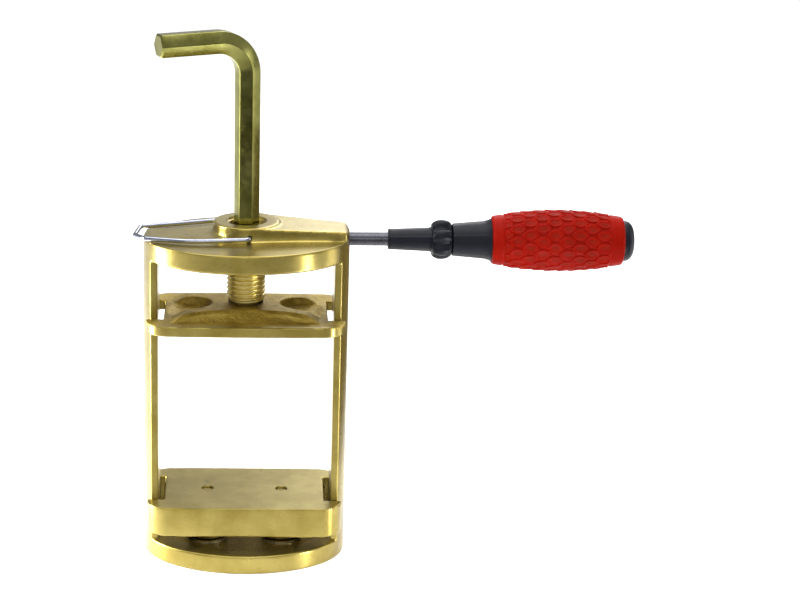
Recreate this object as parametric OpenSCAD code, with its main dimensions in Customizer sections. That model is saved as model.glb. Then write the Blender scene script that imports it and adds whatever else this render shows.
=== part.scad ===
// Two-flask bench press: a cast brass frame, a screw-driven upper plate, a lower plate
// carried on disc springs, a hex key in the screw, a wire carrying bail and a side handle.
// Millimetres. Origin at the middle of the base's underside, +X to the handle, +Z up.

/* [Frame] */
// Width of the frame across its two posts
frame_w = 112; // [108:1:118]
// Depth of the frame, front to back
frame_d = 82; // [80:1:88]
// Thickness of the base
base_t = 10.5; // [9.5:0.5:13]
// Height of the head plate's underside
head_z = 171; // [168:1:176]
// Thickness of the head plate at its rim
head_t = 10.5; // [9:0.5:12]
// Clear width between the posts
post_gap = 95.4; // [94:0.2:96]
// Depth of each post, front to back
post_d = 32.4; // [28:0.4:33]
// Height of the boss top above the head plate's underside
boss_h = 19.3; // [18:0.1:21]
// Radius of the boss round the screw
boss_r = 18; // [16:0.5:19]

/* [Plates] */
// Width of both plates across their ears
plate_w = 107.6; // [104:0.4:109]
// Depth of the upper plate
upper_d = 65; // [60:1:68]
// Depth of the lower plate
lower_d = 62; // [58:1:66]
// Height of the upper plate's pressing face
upper_z = 133.7; // [120:0.1:136]
// Thickness of the upper plate at its rim
upper_t = 5.6; // [4:0.2:6]
// Height of the plateau over the upper plate's pressing face
plateau_h = 11.1; // [9:0.1:12]
// Height of the lower plate's pressing face
lower_z = 34.5; // [33:0.1:37]
// Thickness of the lower plate
lower_t = 16.5; // [15.5:0.1:17]

/* [Screw] */
// Diameter of the pressure screw
screw_d = 21; // [20:0.5:22]
// Pitch of the screw thread
screw_pitch = 2.5; // [2:0.5:3]
// Height of the screw's top
screw_top = 186; // [184:0.5:189]
// Size of the hex key across its flats
key_af = 12; // [10:1:12]
// Length of the hex key's long arm
key_long = 137; // [120:1:140]
// Length of the hex key's short arm
key_short = 57; // [50:1:60]
// Direction of the hex key's short arm, from -X towards the front
key_turn = 24; // [0:1:40]

/* [Springs] */
// Distance of each guide pin from the middle
pin_x = 20.7; // [18:0.1:24]
// Diameter of the guide pins
pin_d = 11; // [10:0.5:11]
// Number of discs in each spring stack
disc_n = 8; // [6:2:8]
// Travel of the lower plate against its springs
spring_travel = 2; // [1:0.1:2]

/* [Bail] */
// Diameter of the bail's wire
wire_d = 2.6; // [2:0.1:3]
// Reach of the bail from its pivot
bail_reach = 62.9; // [62:0.1:65]

/* [Handle] */
// Diameter of the handle's steel shank
shank_d = 7.4; // [6:0.1:8]
// Height of the handle's axis
handle_z = 180.3; // [180:0.1:181]
// Greatest diameter of the grip
grip_d = 32.6; // [28:0.2:34]
// Length of the grip
grip_l = 71.3; // [70:0.1:76]

/* [Hidden] */

brass = "#b3a264";
cast_brass = "#9c8c52";
plated = "#b8b483";
steel = "#8f9296";
spring_steel = "#6d6a58";
black = "#23262f";
red = "#c8281c";

round_fn = 96;
fit = 0.05;            // radial running clearance
seat_gap = 0.05;       // gap between faces that rest on each other
past = 1;              // how far a cutter runs past a face

head_top = head_z + head_t;
boss_top = head_z + boss_h;
screw_bore_r = screw_d / 2 + 0.08; // clears the crests
bore_chamfer = 1.4;

pocket_z = 5.8;
pocket_w = 86;
pocket_d = 67;
ellipse_n = 144;

right_arm_end = 10.5;  // half-width of the right arm at the rim
left_arm_end = 10;
right_arm_drop = 3.5;
left_arm_step = 6;     // how far the left arm lies below the boss top
left_arm_drop = 1.5;
arm_round = 3.5;

notch_x = 44.5;        // where the notch round each post begins
notch_d = 34.4;
plate_corner = 12;

washer_t = 1;
washer_r = 9.6;
slack = 0.1;           // radial play of washers on their screws and pins
screw_foot = upper_z + plateau_h + washer_t + seat_gap;
thread_depth = 1.3;
groove_mouth = 1.05;   // half-widths of a thread groove at its mouth and its root
groove_root = 0.15;
relief_l = 1.6;
spigot_r = 5;
recess_r = 9;
recess_h = 4;
keeper_r = 8.2;
keeper_t = 1.6;
keeper_screw_r = 3;
keeper_head_r = 5.6;
keeper_head_h = 1.9;
keeper_screw_l = 14;
keeper_drive_af = 3;
keeper_drive_d = 1.4;
keeper_z = upper_z + recess_h - slack; // where the keeper washer meets the spigot
press = 0.02;          // radial gap of a pressed or screwed fit

socket_d = 28;         // how deep the key sits in the screw
key_foot = screw_top - socket_d;
key_bend_r = 18;
key_chamfer = 0.9;
key_top = key_foot + key_long;
socket_chamfer = 0.8;

under_z = lower_z - lower_t;
pin_foot = spring_travel + 0.1; // the foot stays off the bench at full travel
pin_tip_r = 3;
pin_tip_drop = 1;
seat_t = 0.6;
clip_t = 0.75;
clip_groove_z = 3;
clip_groove_h = 0.8;
clip_groove_r = 4.4;
clip_r = 7.6;
clip_gap_w = 7;
counterbore_r = 9;
counterbore_h = clip_groove_z + clip_groove_h;
disc_r = 11.25;
disc_hole_r = 5.6;
disc_t = 0.8;
disc_pitch = (under_z - pocket_z - seat_t - seat_gap) / disc_n;
disc_gap = 0.02;       // gap between one disc and the next
seat_lip = 0.4;        // how far a seat stands out round its discs

pivot_x = 1.6;
pivot_z = 185;
pivot_in = 13.6;       // where the wire's ends stop inside the boss
front_leg_y = 20.4;    // far enough out that the wire bends outside the boss
rear_leg_y = 25;
bail_droop = 2;        // degrees that the resting bail hangs below its pivot
rear_corner = [-bail_reach + 3.3, 12];
front_corner = [-bail_reach + 1, -5.1];
front_elbow = [-bail_reach + 6.5, -12.6];
front_bow = [-bail_reach / 2, -21.3];
bail_hole_in = 13;
wire_bend_r = 2.2;
wire_sides = 16;
bend_steps = 6;

shank_in = 22;
shank_out = 94;
core_start = 20.6;
core_neck_end = 44;
guard_end = 55;
guard_r = 10.8;
guard_lobes = 6;
guard_cut_r = 8;       // radius of the scallops between the lobes
guard_cut_d = 1.4;     // how deep they are
neck_r = 5.4;
neck_end_r = 6.25;
throat_r = 8.85;
throat_end_r = 10.25;
flare_r = 11.35;
flare_l = 3.2;
core_flare = 75.4;
grip_start = 76.3;
core_in_r = 9;
core_end = 143.6;
grip_bore_r = core_in_r + press;
cap_r = 10.95;
cap_end = 153.6;
grip_end_r = 12.95;
grip_steps = 20;

// An ellipse from its width and depth
function ellipse(w, d) = [for (i = [0 : ellipse_n - 1])
    let (a = 360 * i / ellipse_n) [w / 2 * cos(a), d / 2 * sin(a)]];

// Angle at which a line from (x, y) touches a circle of radius r at the origin
function touch_angle(r, x, y) = asin(r / norm([x, y])) - atan2(y, x);

// Points of a quarter arc in the XZ plane, from straight up round to +X
function quarter_arc(cx, cz, r, n = 8) = [for (i = [0 : n])
    let (a = 90 - 90 * i / n) [cx + r * cos(a), cz + r * sin(a)]];

// Radius of the grip at a share of its length
function grip_r(t) = grip_end_r + (grip_d / 2 - grip_end_r) * pow(sin(180 * t), 0.9);

module hexagon(af) { circle(r = af / sqrt(3), $fn = 6); }

// An arm that leaves the boss along its tangents and ends at the rim, towards +X
module arm(end_y, top, drop) {
    rim_x = frame_w / 2;
    reach_x = rim_x + past;
    tilt = touch_angle(boss_r, reach_x, end_y);
    touch = [boss_r * sin(tilt), boss_r * cos(tilt)];
    intersection() {
        translate([0, 0, head_z]) linear_extrude(boss_h + past) polygon(ellipse(frame_w, frame_d));
        translate([0, 0, head_z]) linear_extrude(boss_h + past) polygon([
            [0, -touch[1]], [touch[0], -touch[1]], [reach_x, -end_y],
            [reach_x, end_y], [touch[0], touch[1]], [0, touch[1]]]);
        translate([0, frame_d / 2, 0]) rotate([90, 0, 0]) linear_extrude(frame_d) polygon(concat(
            [[0, head_z + past], [0, top]],
            quarter_arc(rim_x - arm_round, top - drop - arm_round, arm_round),
            [[rim_x, head_z + past]]));
    }
}

module frame_head() {
    translate([0, 0, head_z]) linear_extrude(head_t) polygon(ellipse(frame_w, frame_d));
    translate([0, 0, head_z]) cylinder(r = boss_r, h = boss_h, $fn = round_fn);
    arm(right_arm_end, boss_top, right_arm_drop);
    mirror([1, 0, 0]) arm(left_arm_end, boss_top - left_arm_step, left_arm_drop);
}

module post() {
    translate([0, 0, base_t - past]) linear_extrude(head_z - base_t + 2 * past) intersection() {
        polygon(ellipse(frame_w, frame_d));
        translate([post_gap / 2, -post_d / 2]) square([frame_w / 2, post_d]);
    }
}

module frame_bores() {
    translate([0, 0, head_z - past]) cylinder(r = screw_bore_r, h = boss_h + 2 * past, $fn = round_fn);
    translate([0, 0, boss_top - bore_chamfer])
        cylinder(r1 = screw_bore_r, r2 = screw_bore_r + bore_chamfer + past,
                 h = bore_chamfer + past, $fn = round_fn);
    for (side = [-1, 1]) {
        translate([pivot_x, side * (bail_hole_in + boss_r) / 2, pivot_z]) rotate([90, 0, 0])
            cylinder(r = wire_d / 2 + fit, h = boss_r - bail_hole_in + past, center = true, $fn = round_fn);
        translate([side * pin_x, 0, -past]) {
            cylinder(r = pin_d / 2 + fit, h = base_t + past, $fn = round_fn);
            cylinder(r = counterbore_r, h = counterbore_h + past, $fn = round_fn);
        }
    }
    translate([frame_w / 2 - shank_in - 1, 0, handle_z]) rotate([0, 90, 0])
        cylinder(r = shank_d / 2 + fit, h = shank_in + 1 + past, $fn = round_fn);
}

module frame() {
    color(brass) difference() {
        union() {
            linear_extrude(base_t) polygon(ellipse(frame_w, frame_d));
            post();
            mirror([1, 0, 0]) post();
            frame_head();
        }
        translate([0, 0, pocket_z]) linear_extrude(base_t) polygon(ellipse(pocket_w, pocket_d));
        frame_bores();
    }
}

// Outline that both plates share: a rounded rectangle with a notch round each post
module plate_outline(d) {
    corner_x = plate_w / 2 - plate_corner;
    corner_y = d / 2 - plate_corner;
    difference() {
        union() {
            square([plate_w, 2 * corner_y], center = true);
            square([2 * corner_x, d], center = true);
            for (sx = [-1, 1], sy = [-1, 1])
                translate([sx * corner_x, sy * corner_y]) circle(r = plate_corner, $fn = round_fn);
        }
        for (sx = [-1, 1]) translate([sx * (notch_x + plate_w / 2), 0])
            square([plate_w, notch_d], center = true);
    }
}

// How far the upper plate's raised back reaches to the front and rear, bowed in at the middle
function back_y(x) = 17.5 + 5 * pow(x / 31, 2);

// The raised back: bowed in at the front and rear, hollowed from both sides, falling at its ends
module raised_back() {
    reach = 41;
    crest = 33;
    steps = 16;
    hollow_x = 36;
    hollow_r = 11;
    edge = [for (i = [-steps : steps]) let (x = reach * i / steps) [x, back_y(x)]];
    intersection() {
        translate([0, 0, upper_z + 1]) linear_extrude(plateau_h) difference() {
            polygon(concat(edge, [for (p = edge) [-p[0], -p[1]]]));
            for (side = [-1, 1]) {
                translate([side * (hollow_x - hollow_r / 2), 0]) circle(r = hollow_r, $fn = round_fn);
                translate([side * (hollow_x + hollow_r / 2), 0])
                    square([2 * hollow_r, 2 * hollow_r], center = true);
            }
        }
        translate([0, upper_d / 2, upper_z]) rotate([90, 0, 0]) linear_extrude(upper_d) polygon([
            [-reach, 0], [reach, 0], [reach, upper_t], [crest, plateau_h - 1], [hollow_r, plateau_h],
            [-hollow_r, plateau_h], [-crest, plateau_h - 1], [-reach, upper_t]]);
    }
}

module upper_plate() {
    color(cast_brass) difference() {
        union() {
            translate([0, 0, upper_z]) linear_extrude(upper_t) plate_outline(upper_d);
            raised_back();
        }
        translate([0, 0, upper_z]) cylinder(r = spigot_r + fit, h = plateau_h + past, $fn = round_fn);
        translate([0, 0, upper_z - past]) cylinder(r = recess_r, h = recess_h + past, $fn = round_fn);
    }
}

// Rings at the thread's pitch, cut into the screw between its foot and its top
module thread_grooves() {
    first = screw_foot + relief_l + screw_pitch / 2;
    count = floor((screw_top - first - past) / screw_pitch);
    mouth_r = screw_d / 2 + slack;
    root_r = screw_d / 2 - thread_depth;
    for (i = [0 : count]) translate([0, 0, first + i * screw_pitch]) rotate_extrude($fn = round_fn)
        polygon([[mouth_r, -groove_mouth], [mouth_r, groove_mouth],
                 [root_r, groove_root], [root_r, -groove_root]]);
}

module pressure_screw() {
    color(brass) difference() {
        union() {
            translate([0, 0, screw_foot]) cylinder(d = screw_d, h = screw_top - screw_foot, $fn = round_fn);
            translate([0, 0, keeper_z])
                cylinder(r = spigot_r, h = screw_foot - keeper_z + past, $fn = round_fn);
        }
        thread_grooves();
        translate([0, 0, key_foot - seat_gap]) rotate([0, 0, 30 + key_turn])
            linear_extrude(key_long) hexagon(key_af + 2 * fit);
        translate([0, 0, screw_top - socket_chamfer])
            cylinder(r1 = key_af / 2, r2 = key_af / 2 + 2 * (socket_chamfer + past),
                     h = socket_chamfer + past, $fn = round_fn);
        translate([0, 0, keeper_z - past])
            cylinder(r = keeper_screw_r + press, h = keeper_screw_l, $fn = round_fn);
    }
}

module thrust_washer() {
    color(steel) translate([0, 0, upper_z + plateau_h]) difference() {
        cylinder(r = washer_r, h = washer_t, $fn = round_fn);
        translate([0, 0, -past]) cylinder(r = spigot_r + slack, h = washer_t + 2 * past, $fn = round_fn);
    }
}

module retaining_washer() {
    color(steel) translate([0, 0, keeper_z - keeper_t]) difference() {
        cylinder(r = keeper_r, h = keeper_t, $fn = round_fn);
        translate([0, 0, -past])
            cylinder(r = keeper_screw_r + slack, h = keeper_t + 2 * past, $fn = round_fn);
    }
}

module retaining_screw() {
    head_low = keeper_z - keeper_t - keeper_head_h;
    color(steel) difference() {
        union() {
            translate([0, 0, head_low]) cylinder(r = keeper_head_r, h = keeper_head_h, $fn = round_fn);
            translate([0, 0, head_low]) cylinder(r = keeper_screw_r, h = keeper_screw_l, $fn = round_fn);
        }
        translate([0, 0, head_low - past]) linear_extrude(keeper_drive_d + past) hexagon(keeper_drive_af);
    }
}

module hex_key() {
    bend_z = key_top - key_af / 2 - key_bend_r;
    short_end = key_short - key_af / 2;
    color(plated) rotate([0, 0, 180 + key_turn]) difference() {
        union() {
            translate([key_bend_r, 0, bend_z]) intersection() {
                rotate([90, 0, 0]) rotate_extrude($fn = round_fn)
                    translate([key_bend_r, 0]) rotate([0, 0, 30]) hexagon(key_af);
                translate([-2 * key_bend_r, -key_af, 0]) cube([2 * key_bend_r, 2 * key_af, 2 * key_bend_r]);
            }
            translate([key_bend_r, 0, key_top - key_af / 2]) rotate([0, 90, 0])
                linear_extrude(short_end - key_bend_r) rotate([0, 0, 30]) hexagon(key_af);
            translate([0, 0, bend_z]) rotate([180, 0, 0])
                linear_extrude(bend_z - key_foot) rotate([0, 0, 30]) hexagon(key_af);
        }
        translate([0, 0, key_foot]) chamfer_ring();
        translate([short_end, 0, key_top - key_af / 2]) rotate([0, -90, 0]) chamfer_ring();
    }
}

// Cutter for the chamfer on a hex bar's end, which faces -Z at z = 0
module chamfer_ring() {
    end_r = key_af / sqrt(3) - key_chamfer;
    rotate_extrude($fn = round_fn)
        polygon([[end_r - past, -past], [end_r + 2 * past, -past], [end_r + 2 * past, 2 * past]]);
}

module lower_plate() {
    color(brass) difference() {
        translate([0, 0, under_z]) linear_extrude(lower_t) plate_outline(lower_d);
        for (side = [-1, 1]) translate([side * pin_x, 0, under_z - past])
            cylinder(r = pin_tip_r + press, h = lower_t + 2 * past, $fn = round_fn);
    }
}

module guide_pin(side) {
    color(steel) translate([side * pin_x, 0, 0]) difference() {
        union() {
            translate([0, 0, pin_foot]) cylinder(d = pin_d, h = under_z - pin_foot, $fn = round_fn);
            translate([0, 0, under_z - past])
                cylinder(r = pin_tip_r, h = lower_t + past - pin_tip_drop, $fn = round_fn);
        }
        translate([0, 0, clip_groove_z]) difference() {
            cylinder(r = pin_d, h = clip_groove_h, $fn = round_fn);
            cylinder(r = clip_groove_r, h = clip_groove_h, $fn = round_fn);
        }
    }
}

module spring_seat(side) {
    color(steel) translate([side * pin_x, 0, pocket_z]) difference() {
        cylinder(r = disc_r + seat_lip, h = seat_t, $fn = round_fn);
        translate([0, 0, -past]) cylinder(r = disc_hole_r + slack, h = seat_t + 2 * past, $fn = round_fn);
    }
}

// One coned disc, wide rim down, standing at z = 0
module disc() {
    rise = disc_pitch - disc_t - disc_gap;
    rotate_extrude($fn = round_fn) polygon([
        [disc_r, 0], [disc_r, disc_t], [disc_hole_r, disc_t + rise], [disc_hole_r, rise]]);
}

module disc_springs(side) {
    color(spring_steel) translate([side * pin_x, 0, pocket_z + seat_t]) for (i = [0 : disc_n - 1])
        translate([0, 0, i * disc_pitch]) if (i % 2 == 0) disc();
        else translate([0, 0, disc_pitch - disc_gap]) mirror([0, 0, 1]) disc();
}

module retaining_clip(side) {
    clip_z = clip_groove_z + (clip_groove_h - clip_t) / 2;
    color(steel) translate([side * pin_x, 0, clip_z]) difference() {
        cylinder(r = clip_r, h = clip_t, $fn = round_fn);
        translate([0, 0, -past]) cylinder(r = clip_groove_r + press, h = clip_t + 2 * past, $fn = round_fn);
        translate([-clip_gap_w / 2, 0, -past]) cube([clip_gap_w, clip_r + past, clip_t + 2 * past]);
    }
}

function unit(v) = v / norm(v);

// Points round corner i of a route in the XY plane, where the route bends left on a radius
function bend(route, i, bend_r) =
    let (into = unit(route[i] - route[i - 1]), out = unit(route[i + 1] - route[i]),
         turn = acos(into * out), centre = route[i] + unit(out - into) * bend_r / cos(turn / 2),
         from = route[i] - into * bend_r * tan(turn / 2) - centre, start = atan2(from[1], from[0]))
    [for (k = [0 : bend_steps]) centre + bend_r * [cos(start + turn * k / bend_steps),
                                                   sin(start + turn * k / bend_steps)]];

// Round wire in the XY plane that follows a list of corners
module wire(route, bend_r, d) {
    last = len(route) - 1;
    line = concat([route[0]], [for (i = [1 : last - 1]) each bend(route, i, bend_r)], [route[last]]);
    count = len(line);
    side = [for (i = [0 : count - 1])
        let (run = unit(line[min(i + 1, count - 1)] - line[max(i - 1, 0)])) [run[1], -run[0]]];
    rings = [for (i = [0 : count - 1], k = [0 : wire_sides - 1])
        let (a = 360 * k / wire_sides, out = line[i] + side[i] * d / 2 * cos(a))
        [out[0], out[1], d / 2 * sin(a)]];
    walls = [for (i = [0 : count - 2], k = [0 : wire_sides - 1])
        let (next = (k + 1) % wire_sides, row = i * wire_sides)
        [row + k, row + next, row + wire_sides + next, row + wire_sides + k]];
    polyhedron(rings, concat(walls, [[for (k = [wire_sides - 1 : -1 : 0]) k]],
        [[for (k = [0 : wire_sides - 1]) (count - 1) * wire_sides + k]]));
}

module carry_bail() {
    route = [[0, pivot_in], [0, rear_leg_y], rear_corner, front_corner, front_elbow, front_bow,
             [0, -front_leg_y], [0, -pivot_in]];
    color(steel) translate([pivot_x, 0, pivot_z]) rotate([0, -bail_droop, 0])
        wire(route, wire_bend_r, wire_d);
}

// Turns the handle's own axis from +Z to +X, starting at the frame's rim
module along_handle() { translate([frame_w / 2, 0, handle_z]) rotate([0, 90, 0]) children(); }

module handle_shank() {
    color(steel) along_handle() translate([0, 0, -shank_in])
        cylinder(d = shank_d, h = shank_in + shank_out, $fn = round_fn);
}

module handle_core() {
    color(black) along_handle() difference() {
        union() {
            rotate_extrude($fn = round_fn) polygon([
                [0, core_start], [neck_r, core_start], [neck_end_r, core_neck_end], [throat_r, guard_end],
                [throat_end_r, core_flare - flare_l], [flare_r, core_flare], [flare_r, grip_start - slack],
                [core_in_r, grip_start - slack], [core_in_r, core_end], [0, core_end]]);
            translate([0, 0, core_neck_end]) difference() {
                cylinder(r = guard_r, h = guard_end - core_neck_end, $fn = round_fn);
                for (i = [0 : guard_lobes - 1]) rotate([0, 0, 360 * (i + 0.5) / guard_lobes])
                    translate([guard_r + guard_cut_r - guard_cut_d, 0, -past])
                        cylinder(r = guard_cut_r, h = guard_end - core_neck_end + 2 * past, $fn = round_fn);
            }
        }
        translate([0, 0, core_start - past])
            cylinder(r = shank_d / 2 + press, h = shank_out - core_start + past + slack, $fn = round_fn);
    }
}

module grip_sleeve() {
    outer = [for (i = [0 : grip_steps]) let (t = i / grip_steps) [grip_r(t), grip_start + grip_l * t]];
    grip_end = grip_start + grip_l;
    color(red) along_handle() rotate_extrude($fn = round_fn) polygon(concat(outer, [
        [cap_r + 0.05, grip_end], [cap_r + 0.05, core_end],
        [grip_bore_r, core_end], [grip_bore_r, grip_start]]));
}

module handle_end_cap() {
    round_r = 3;
    arc = [for (i = [0 : 8]) let (a = 90 * i / 8)
        [cap_r - round_r + round_r * cos(a), cap_end - round_r + round_r * sin(a)]];
    color(black) along_handle() rotate_extrude($fn = round_fn) polygon(concat(
        [[0, core_end + seat_gap], [cap_r, core_end + seat_gap]], arc, [[0, cap_end]]));
}

frame();
upper_plate();
pressure_screw();
thrust_washer();
retaining_washer();
retaining_screw();
hex_key();
lower_plate();
guide_pin(-1);  // guide_pin_left
guide_pin(1);  // guide_pin_right
spring_seat(-1);  // spring_seat_left
spring_seat(1);  // spring_seat_right
disc_springs(-1);  // disc_springs_left
disc_springs(1);  // disc_springs_right
retaining_clip(-1);  // retaining_clip_left
retaining_clip(1);  // retaining_clip_right
carry_bail();
handle_shank();
handle_core();
grip_sleeve();
handle_end_cap();
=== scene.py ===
"""Looks of the two-flask bench press: cast brass frame and plates, threaded pressure screw,
hex key, wire bail and a grip with a fish-scale pattern. Lengths are millimetres until mesh_object()."""
import math

import bpy
import numpy as np
from mathutils import Euler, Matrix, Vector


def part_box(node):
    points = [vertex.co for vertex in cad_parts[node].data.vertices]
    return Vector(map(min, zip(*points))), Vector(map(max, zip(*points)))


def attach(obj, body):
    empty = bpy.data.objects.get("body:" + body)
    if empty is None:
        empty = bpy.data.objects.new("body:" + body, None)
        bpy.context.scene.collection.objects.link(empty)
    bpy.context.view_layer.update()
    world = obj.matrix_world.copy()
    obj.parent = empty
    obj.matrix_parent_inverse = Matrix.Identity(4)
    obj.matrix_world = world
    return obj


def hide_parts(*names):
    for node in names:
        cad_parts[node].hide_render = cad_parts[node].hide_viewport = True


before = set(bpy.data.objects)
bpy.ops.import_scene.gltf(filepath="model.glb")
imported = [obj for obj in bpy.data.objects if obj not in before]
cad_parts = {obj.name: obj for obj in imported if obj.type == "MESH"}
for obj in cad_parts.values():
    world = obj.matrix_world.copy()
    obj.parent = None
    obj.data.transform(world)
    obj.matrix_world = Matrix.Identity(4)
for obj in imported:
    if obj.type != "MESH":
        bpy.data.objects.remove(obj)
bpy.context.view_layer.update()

MM = 0.001
TAU = 2 * math.pi


def node_box(name):
    """Lowest and highest corners of a CAD node, in millimetres."""
    low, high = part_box(name)
    return np.array(low) / MM, np.array(high) / MM


# ---- sizes, from the frame where it has them ------------------------------------------------
FRAME_HIGH = node_box("frame")[1]
HALF_W = FRAME_HIGH[0]
HALF_D = FRAME_HIGH[1]
BOSS_TOP = FRAME_HIGH[2]
UPPER_LOW, UPPER_HIGH = node_box("upper_plate")
LOWER_LOW, LOWER_HIGH = node_box("lower_plate")
SCREW_LOW, SCREW_HIGH = node_box("pressure_screw")
WASHER_HIGH = node_box("thrust_washer")[1]
KEY_LOW, KEY_HIGH = node_box("hex_key")
PIN_LOW, PIN_HIGH = node_box("guide_pin_right")
SEAT_LOW = node_box("spring_seat_right")[0]
CORE_LOW, CORE_HIGH = node_box("handle_core")
GRIP_LOW, GRIP_HIGH = node_box("grip_sleeve")
CAP_LOW, CAP_HIGH = node_box("handle_end_cap")
SHANK_LOW, SHANK_HIGH = node_box("handle_shank")

BASE_T = 10.5
POCKET_HALF = (43.0, 33.5)
HEAD_LOW = 171.0
HEAD_TOP = HEAD_LOW + 10.5
CROWN = 1.6
POST_IN = 47.7
POST_HALF = 16.2
BOSS_R = 18.0
PIN_X = (PIN_LOW[0] + PIN_HIGH[0]) / 2
HANDLE_Z = (SHANK_LOW[2] + SHANK_HIGH[2]) / 2
SCREW_R = (SCREW_HIGH[0] - SCREW_LOW[0]) / 2
THREAD_PITCH = 2.5
SPIGOT_R = 5.0
KEEPER_RECESS = (9, 4)
KEEPER_HOLE = (3.02, 12)
CLIP_RECESS = (9, 3.8)
PIN_HOLE_R = 3.05
KEY_AF = 12.0
KEY_SHORT_ARM = 57
KEY_BEND_R = 18.0
KEY_TURN = math.radians(204)
WIRE_R = 1.3
PIVOT = (1.6, 185.0)
BAIL_REACH = 62.9
BAIL_DROOP = math.radians(2)
PLATE_CORNER = 12.0
NOTCH = (44.5, 17.2)
RIM_T = 5.6


# ---- mesh helpers ---------------------------------------------------------------------------
def mesh_object(name, points, faces, smooth=True):
    """A linked mesh object from points in millimetres."""
    mesh = bpy.data.meshes.new(name)
    mesh.from_pydata([tuple(float(c) * MM for c in p) for p in points], [], faces)
    mesh.validate()
    mesh.update()
    mesh.polygons.foreach_set("use_smooth", [smooth] * len(mesh.polygons))
    obj = bpy.data.objects.new(name, mesh)
    bpy.context.scene.collection.objects.link(obj)
    return obj


def bake(obj):
    """Puts the result of an object's modifiers into its mesh."""
    graph = bpy.context.evaluated_depsgraph_get()
    baked = bpy.data.meshes.new_from_object(obj.evaluated_get(graph))
    old = obj.data
    obj.modifiers.clear()
    obj.data = baked
    bpy.data.meshes.remove(old)


def combine(obj, tool, operation):
    """A boolean of two closed meshes. The tool is used up."""
    cut = obj.modifiers.new("combine", "BOOLEAN")
    cut.operation = operation
    cut.solver = "MANIFOLD"
    cut.object = tool
    bake(obj)
    bpy.data.objects.remove(tool)
    return obj


def soften(obj, voxel, passes, strength=0.5):
    """Remeshes a solid evenly and relaxes it, which rounds its edges and fills its corners as
    casting does."""
    remesh = obj.modifiers.new("even", "REMESH")
    remesh.mode = "VOXEL"
    remesh.voxel_size = voxel * MM
    remesh.use_smooth_shade = True
    relax = obj.modifiers.new("relax", "SMOOTH")
    relax.factor = strength
    relax.iterations = passes
    bake(obj)
    return obj


def relax_where(obj, weight_of, passes):
    """Relaxes only the points to which weight_of(x, y, z) gives a weight."""
    group = obj.vertex_groups.new(name="relaxed")
    for vertex in obj.data.vertices:
        weight = weight_of(*(c / MM for c in vertex.co))
        if weight > 0:
            group.add([vertex.index], weight, "REPLACE")
    relax = obj.modifiers.new("relax", "SMOOTH")
    relax.factor = 0.5
    relax.iterations = passes
    relax.vertex_group = group.name
    bake(obj)
    obj.vertex_groups.clear()
    return obj


def sharp_shading(obj, degrees=35):
    """Smooth shading that keeps edges sharper than the given angle."""
    limit = math.radians(degrees)
    obj.data.polygons.foreach_set("use_smooth", [True] * len(obj.data.polygons))
    obj.data.set_sharp_from_angle(angle=limit)
    return obj


def loft(name, rings, closed=False):
    """A closed solid through rings of equal point counts, with flat ends unless it closes on itself."""
    n = len(rings[0])
    points = [p for ring in rings for p in ring]
    count = len(rings)
    faces = []
    for i in range(count if closed else count - 1):
        a, b = i * n, (i + 1) % count * n
        faces += [(a + k, a + (k + 1) % n, b + (k + 1) % n, b + k) for k in range(n)]
    if not closed:
        faces.append(tuple(reversed(range(n))))
        faces.append(tuple(range((count - 1) * n, count * n)))
    return mesh_object(name, points, faces)


def oval_ring(half_w, half_d, z, n=180):
    return [(half_w * math.cos(TAU * k / n), half_d * math.sin(TAU * k / n), z) for k in range(n)]


def oval_solid(name, half_w, half_d, profile):
    """A solid with an oval plan. The profile lists (inset, z) from the bottom up."""
    return loft(name, [oval_ring(half_w - inset, half_d - inset, z) for inset, z in profile])


def prism(name, outline, low, high):
    """A polygon in the XY plane, extruded between two heights."""
    return loft(name, [[(x, y, low) for x, y in outline], [(x, y, high) for x, y in outline]])


def side_prism(name, outline, low, high):
    """A polygon in the XZ plane, extruded between two depths."""
    return loft(name, [[(x, high, z) for x, z in outline], [(x, low, z) for x, z in outline]])


def turned(name, profile, n=96, centre=(0, 0)):
    """A closed solid turned about a vertical axis. The profile lists (radius, z) from the bottom up."""
    cx, cy = centre
    rings = [[(cx + r * math.cos(TAU * k / n), cy + r * math.sin(TAU * k / n), z) for k in range(n)]
             for r, z in profile]
    return loft(name, rings)


def along_x(points, z=HANDLE_Z):
    """Turns points modelled about +Z into points about the handle's axis: z becomes x."""
    return [(p[2], p[1], z - p[0]) for p in points]


def turned_x(name, profile, n=96, shape=None):
    """A closed solid turned about the handle's axis. shape(radius, angle, x) may change the radius."""
    rings = []
    for r, x in profile:
        radii = [shape(r, TAU * k / n, x) if shape else r for k in range(n)]
        rings.append(along_x([(radii[k] * math.cos(TAU * k / n), radii[k] * math.sin(TAU * k / n), x)
                              for k in range(n)]))
    return loft(name, rings)


def arc(cx, cy, r, start, end, steps):
    """Points of an arc, angles in degrees."""
    angles = [math.radians(start + (end - start) * i / steps) for i in range(steps + 1)]
    return [(cx + r * math.cos(a), cy + r * math.sin(a)) for a in angles]


def step(edge0, edge1, x):
    """Smooth step from 0 to 1 between two edges."""
    t = min(max((x - edge0) / (edge1 - edge0), 0.0), 1.0)
    return t * t * (3 - 2 * t)


def screw_solid(name, crest_r, root_r, low, high, lead_in):
    """A true right-hand helical thread. lead_in tapers the crests away at both ends."""
    turn_points, rows_per_pitch = 64, 12
    rows = int(round((high - low) / THREAD_PITCH * rows_per_pitch))
    rings = []
    for i in range(rows + 1):
        z = low + (high - low) * i / rows
        fade = min(step(0, lead_in, z - low), step(0, lead_in, high - z)) if lead_in else 1
        ring = []
        for k in range(turn_points):
            phase = (z / THREAD_PITCH - k / turn_points) % 1
            height = step(0.0, 0.36, phase) * (1 - step(0.56, 0.92, phase))
            r = root_r + (crest_r - root_r) * height * fade
            ring.append((r * math.cos(TAU * k / turn_points), r * math.sin(TAU * k / turn_points), z))
        rings.append(ring)
    return loft(name, rings)


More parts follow.
